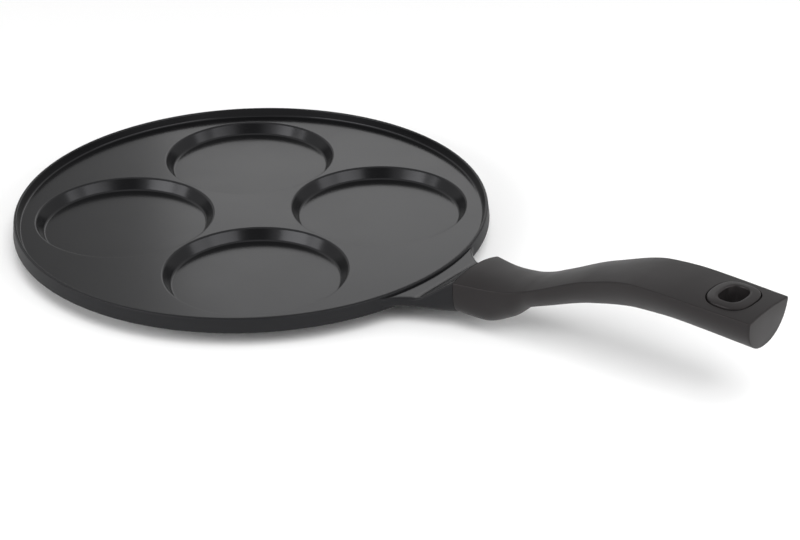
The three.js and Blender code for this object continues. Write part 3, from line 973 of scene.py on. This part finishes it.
def seen_ray(nodes, links):
    """1 for what is seen, straight or in a reflection, and 0 for light that falls on a surface."""
    ray = nodes.new("ShaderNodeLightPath")
    seen = ray.outputs["Is Camera Ray"]
    for kind in ("Is Glossy Ray", "Is Transmission Ray"):
        either = nodes.new("ShaderNodeMath")
        either.operation = "MAXIMUM"
        links.new(seen, either.inputs[0])
        links.new(ray.outputs[kind], either.inputs[1])
        seen = either.outputs["Value"]
    return seen


def add_floor():
    bm = bmesh.new()
    bmesh.ops.create_grid(bm, x_segments=1, y_segments=1, size=FLOOR_REACH)
    floor = finish_mesh(bm, "floor")
    material = bpy.data.materials.new("floor_white")
    material.use_nodes = True
    nodes = material.node_tree.nodes
    links = material.node_tree.links
    nodes.remove(nodes["Principled BSDF"])
    diffuse = nodes.new("ShaderNodeBsdfDiffuse")
    lit = [FLOOR_ALBEDO] * 3
    white = [FLOOR_SEEN] * 3
    links.new(mixed_colour(nodes, links, seen_ray(nodes, links), lit, white), diffuse.inputs["Color"])
    links.new(diffuse.outputs["BSDF"], nodes["Material Output"].inputs["Surface"])
    floor.data.materials.append(material)


def add_lamp(data, place, out, area, radiance):
    """Area lamp that shines against the direction out."""
    data.energy = LAMP_POWER * area * radiance
    lamp = bpy.data.objects.new(data.name, data)
    lamp.location = place
    lamp.rotation_mode = "QUATERNION"
    lamp.rotation_quaternion = out.to_track_quat("Z", "Y")
    bpy.context.scene.collection.objects.link(lamp)
    return lamp


def add_front_box():
    """Round soft box that lights matt surfaces and lays soft shadows, but shows in no reflection."""
    out = towards(FRONT_BOX_AZIMUTH, FRONT_BOX_ELEVATION)
    data = bpy.data.lights.new("front_box", "AREA")
    data.shape = "DISK"
    data.size = 2 * FRONT_BOX_RADIUS
    area = math.pi * FRONT_BOX_RADIUS**2
    lamp = add_lamp(data, out * FRONT_BOX_DISTANCE, out, area, FRONT_BOX_RADIANCE)
    lamp.visible_glossy = False


def add_soft_box(name, facing, first, last, low, high, radiance):
    """Upright soft box, which reflections show."""
    out = towards(facing, 0)
    side = towards(facing + 90, 0)
    left = SOFT_BOX_DISTANCE * math.tan(math.radians(first - facing))
    right = SOFT_BOX_DISTANCE * math.tan(math.radians(last - facing))
    data = bpy.data.lights.new(name, "AREA")
    data.shape = "RECTANGLE"
    data.size = right - left
    data.size_y = SOFT_BOX_DISTANCE * (high - low)
    place = out * SOFT_BOX_DISTANCE + side * (left + right) / 2
    place.z = SOFT_BOX_DISTANCE * (low + high) / 2
    add_lamp(data, place, out, data.size * data.size_y, radiance)


def add_world():
    """Even light from all sides. Reflections show soft patches of more or less light in it."""
    world = bpy.data.worlds.new("studio")
    world.use_nodes = True
    nodes = world.node_tree.nodes
    links = world.node_tree.links
    background = nodes["Background"]
    background.inputs["Color"].default_value = (1, 1, 1, 1)
    coordinates = nodes.new("ShaderNodeTexCoord")
    level = None
    for azimuth, elevation, inner, outer, change in ROOM_PATCHES:
        dot = nodes.new("ShaderNodeVectorMath")
        dot.operation = "DOT_PRODUCT"
        dot.inputs[1].default_value = towards(azimuth, elevation)
        links.new(coordinates.outputs["Generated"], dot.inputs[0])
        fade = nodes.new("ShaderNodeMapRange")
        fade.interpolation_type = "SMOOTHSTEP"
        fade.inputs["From Min"].default_value = math.cos(math.radians(outer))
        fade.inputs["From Max"].default_value = math.cos(math.radians(inner))
        fade.inputs["To Max"].default_value = change
        links.new(dot.outputs["Value"], fade.inputs["Value"])
        total = nodes.new("ShaderNodeMath")
        total.inputs[0].default_value = ROOM_SEEN
        if level:
            links.new(level, total.inputs[0])
        links.new(fade.outputs["Result"], total.inputs[1])
        level = total.outputs["Value"]
    strength = nodes.new("ShaderNodeMix")
    strength.inputs["A"].default_value = ROOM_FILL
    links.new(seen_ray(nodes, links), strength.inputs["Factor"])
    links.new(level, strength.inputs["B"])
    links.new(strength.outputs["Result"], background.inputs["Strength"])
    bpy.context.scene.world = world


add_camera()
add_floor()
add_world()
add_front_box()
for box, numbers in SOFT_BOXES.items():
    add_soft_box(box, *numbers)
bpy.context.scene.view_settings.view_transform = "Standard"
